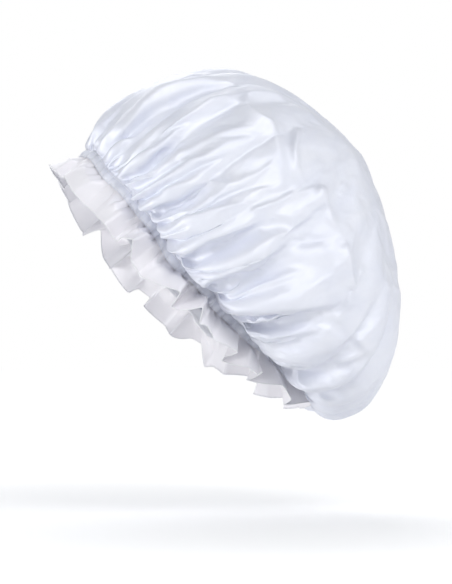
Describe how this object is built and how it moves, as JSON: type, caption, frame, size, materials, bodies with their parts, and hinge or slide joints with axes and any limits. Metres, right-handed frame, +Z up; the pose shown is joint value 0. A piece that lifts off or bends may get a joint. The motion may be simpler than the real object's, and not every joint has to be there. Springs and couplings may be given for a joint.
{
  "type": "satin hair bonnet",
  "caption": "Loose satin sleep bonnet: a round crown gathered onto an elastic casing, with a fluted frill round the face and nape, shown as worn.",
  "frame": {"origin": "centre of the opening that the head goes into, in the plane of the casing's upper seam", "axes": "+Z up as worn with the head upright, -Y the way the wearer faces, +X the wearer's left; the opening is tilted 47 degrees and faces forwards and down"},
  "size_m": [0.246, 0.2724, 0.2706],
  "materials": {
    "crown_satin": "glossy bluish-white satin",
    "frill_satin": "thin white satin, slightly see-through",
    "tape": "white woven ribbon",
    "elastic": "white ribbed elastic",
    "thread": "white sewing thread"
  },
  "bodies": {
    "root": {"crown": "crown_satin", "frill": "frill_satin", "frill_hem_thread": "thread", "casing_tape": "tape", "elastic_band": "elastic", "elastic_join_thread": "thread", "upper_seam_needle_thread": "thread", "upper_seam_bobbin_thread": "thread", "lower_seam_needle_thread": "thread", "lower_seam_bobbin_thread": "thread"}
  },
  "joints": []
}
